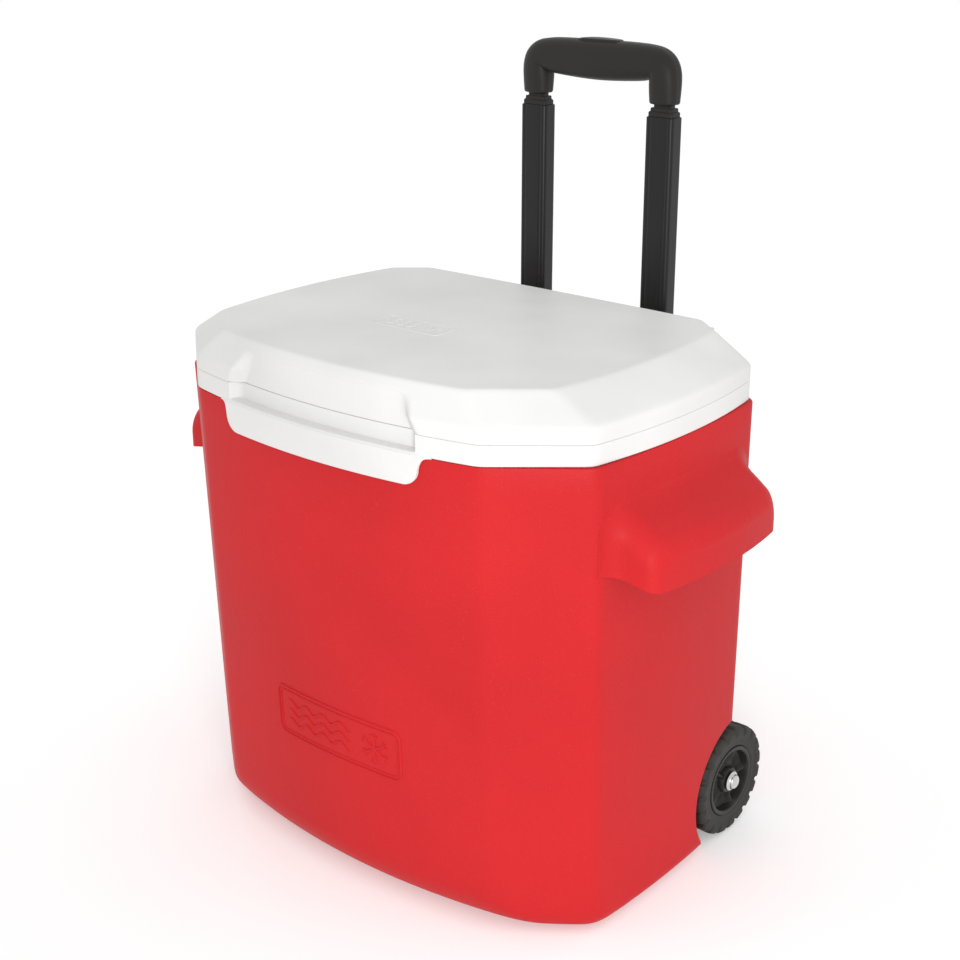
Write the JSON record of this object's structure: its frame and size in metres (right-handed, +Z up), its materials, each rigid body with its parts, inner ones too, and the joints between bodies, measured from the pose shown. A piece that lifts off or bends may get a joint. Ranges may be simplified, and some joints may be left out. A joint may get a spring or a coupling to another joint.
{
  "type": "cooler on wheels",
  "caption": "Insulated wheeled cooler with a hinged lid, moulded side handles and a telescoping pull handle with a release button.",
  "frame": {"origin": "on the floor, under the middle of the whole object's box", "axes": "+X to the right seen from the front, +Y towards the pull handle, +Z up"},
  "size_m": [0.496, 0.3564, 0.6236],
  "materials": {
    "red_plastic": "pebbled",
    "white_plastic": "satin",
    "foam": "foamed",
    "black_plastic": "satin",
    "tyre": "matt",
    "painted_tube": "semi-gloss",
    "steel": "bright"
  },
  "bodies": {
    "cooler_body": {"outer_shell": "red_plastic", "insulation_foam": "foam", "inner_liner": "white_plastic", "front_badge": "red_plastic", "axle": "steel", "handle_guide_block": "black_plastic", "handle_foot_block": "black_plastic", "block_screw_1": "steel", "block_screw_2": "steel", "block_screw_3": "steel", "block_screw_4": "steel", "hinge_screw_1": "steel", "hinge_screw_2": "steel", "hinge_screw_3": "steel", "hinge_screw_4": "steel", "hinge_bracket_left": "black_plastic", "hinge_pin_left": "steel", "washer_left": "steel", "push_nut_left": "steel", "fixed_tube_left": "painted_tube", "fixed_cap_left": "black_plastic", "hinge_bracket_right": "black_plastic", "hinge_pin_right": "steel", "washer_right": "steel", "push_nut_right": "steel", "fixed_tube_right": "painted_tube", "fixed_cap_right": "black_plastic"},
    "lid": {"lid_lower_shell": "white_plastic", "lid_foam": "foam", "lid_upper_shell": "white_plastic", "lid_clevis_left": "white_plastic", "lid_clevis_right": "white_plastic"},
    "middle_stage": {"mid_tube_left": "painted_tube", "mid_shoe_left": "black_plastic", "mid_collar_left": "black_plastic", "mid_tube_right": "painted_tube", "mid_shoe_right": "black_plastic", "mid_collar_right": "black_plastic"},
    "grip_stage": {"grip_front": "black_plastic", "grip_back": "black_plastic", "grip_screw_1": "steel", "grip_screw_2": "steel", "inner_tube_left": "painted_tube", "inner_shoe_left": "black_plastic", "inner_tube_right": "painted_tube", "inner_shoe_right": "black_plastic"},
    "button": {"release_button": "black_plastic", "release_rod_left": "steel", "release_rod_right": "steel"},
    "wheel_left": {"tyre_left": "tyre", "hub_left": "black_plastic"},
    "wheel_right": {"tyre_right": "tyre", "hub_right": "black_plastic"}
  },
  "joints": [
    {"name": "lid_hinge", "type": "hinge", "parent": "cooler_body", "child": "lid", "pos_m": [0, 0.13625, 0.406], "axis": [-1, 0, 0], "range_deg": [0, 74]},
    {"name": "middle_slide", "type": "slide", "parent": "cooler_body", "child": "middle_stage", "axis": [0, 0, 1], "range_m": [-0.185, 0.04]},
    {"name": "grip_slide", "type": "slide", "parent": "middle_stage", "child": "grip_stage", "axis": [0, 0, 1], "range_m": [0, 0.225]},
    {"name": "button_press", "type": "slide", "parent": "grip_stage", "child": "button", "axis": [0, 0, -1], "range_m": [0, 0.004], "stiffness_N_per_m": 500, "springref_m": -0.002},
    {"name": "wheel_left_spin", "type": "hinge", "parent": "cooler_body", "child": "wheel_left", "pos_m": [-0.187, 0.09175, 0.0468], "axis": [1, 0, 0], "continuous": true},
    {"name": "wheel_right_spin", "type": "hinge", "parent": "cooler_body", "child": "wheel_right", "pos_m": [0.187, 0.09175, 0.0468], "axis": [1, 0, 0], "continuous": true}
  ]
}
